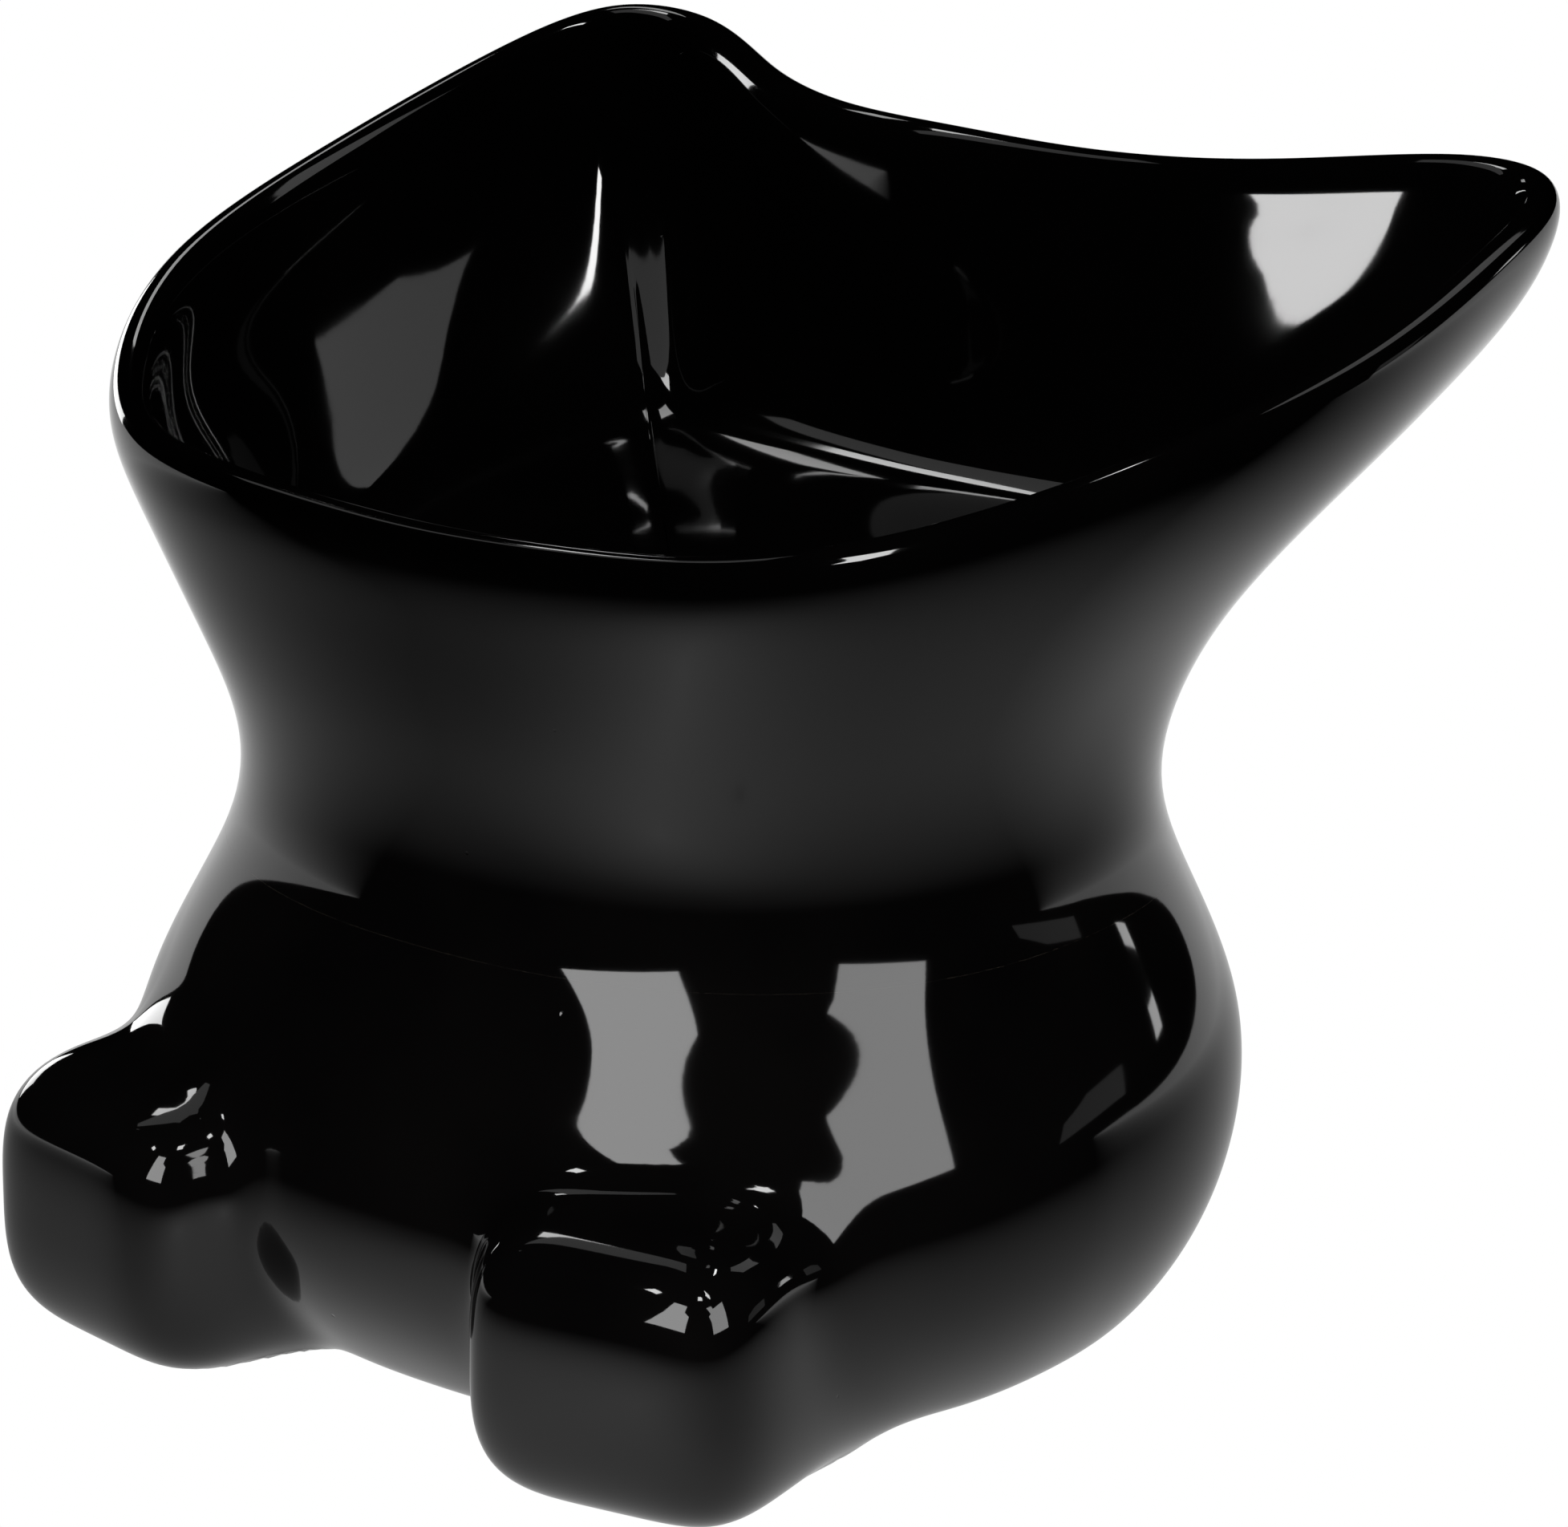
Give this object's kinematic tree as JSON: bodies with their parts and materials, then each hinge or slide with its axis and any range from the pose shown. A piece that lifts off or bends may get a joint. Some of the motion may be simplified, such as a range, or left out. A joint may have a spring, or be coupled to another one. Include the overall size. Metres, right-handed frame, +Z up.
{
  "type": "raised pet bowl",
  "caption": "Raised glazed ceramic feeding bowl shaped like a sitting cat: a tilted dish with ear corners on a hollow round body with front paws.",
  "frame": {"origin": "middle of the bounding box, on the surface that the pads stand on", "axes": "+Z up, the cat faces -Y, the mirror plane is X = 0"},
  "size_m": [0.1426, 0.1276, 0.1216],
  "materials": {
    "glaze": "high gloss black glaze",
    "silicone": "matt translucent silicone"
  },
  "bodies": {
    "root": {"dish": "glaze", "pedestal": "glaze", "left_paw": "glaze", "right_paw": "glaze", "pad_front_left": "silicone", "pad_front_right": "silicone", "pad_back_left": "silicone", "pad_back_right": "silicone"}
  },
  "joints": []
}
